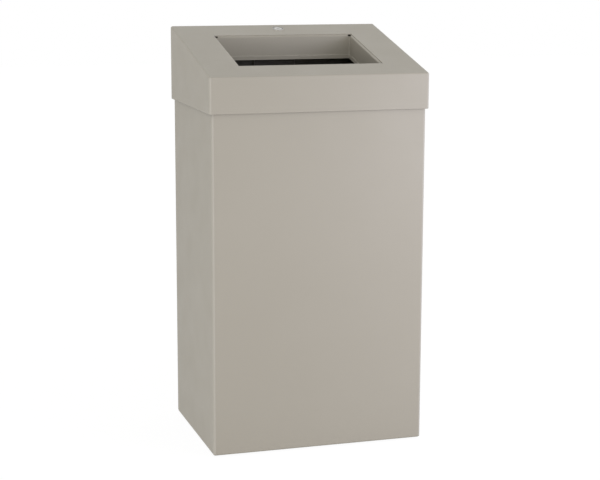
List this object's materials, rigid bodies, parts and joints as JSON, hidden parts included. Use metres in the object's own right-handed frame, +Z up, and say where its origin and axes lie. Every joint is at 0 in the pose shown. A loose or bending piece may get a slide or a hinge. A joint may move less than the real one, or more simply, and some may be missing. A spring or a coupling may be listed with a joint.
{
  "type": "lockable litter bin",
  "caption": "Floor-standing sheet-steel litter bin with a sloped lift-off lid, a deep rectangular open throat, a steel bag frame and a cam lock.",
  "frame": {"origin": "on the floor under the middle of the bin", "axes": "+Z up, the low front of the lid faces -Y, +X to the right seen from behind the front face looking towards +Y"},
  "size_m": [0.358, 0.268, 0.6662],
  "materials": {
    "powder_coat": "fine satin powder coat, warm light grey",
    "rubber": "matt black",
    "zinc_plate": "dull zinc plate",
    "lock_chrome": "satin nickel"
  },
  "bodies": {
    "bin": {"body_wrap": "powder_coat", "rear_panel": "powder_coat", "base_pan": "powder_coat", "feet": "rubber", "lock_catch": "powder_coat"},
    "bag_holder": {"bag_frame": "zinc_plate"},
    "lid": {"lid_shell": "powder_coat", "chute": "powder_coat", "lid_rest_front_left": "powder_coat", "lid_rest_rear_left": "powder_coat", "lid_rest_front_right": "powder_coat", "lid_rest_rear_right": "powder_coat", "rest_pad_front_left": "rubber", "rest_pad_rear_left": "rubber", "rest_pad_front_right": "rubber", "rest_pad_rear_right": "rubber", "lock_barrel": "lock_chrome", "lock_washer": "zinc_plate", "lock_nut": "zinc_plate"},
    "lock": {"lock_plug": "lock_chrome", "lock_cam": "zinc_plate", "cam_screw": "zinc_plate"}
  },
  "joints": [
    {"name": "lid_lift", "type": "slide", "parent": "bin", "child": "lid", "axis": [0, 0, 1], "range_m": [0, 0.12]},
    {"name": "bag_frame_lift", "type": "slide", "parent": "bin", "child": "bag_holder", "axis": [0, 0, 1], "range_m": [0, 0.025]},
    {"name": "lock_turn", "type": "hinge", "parent": "lid", "child": "lock", "pos_m": [0, 0.10805, 0.66076], "axis": [0, 0.2351, -0.972], "range_deg": [0, 90]}
  ]
}
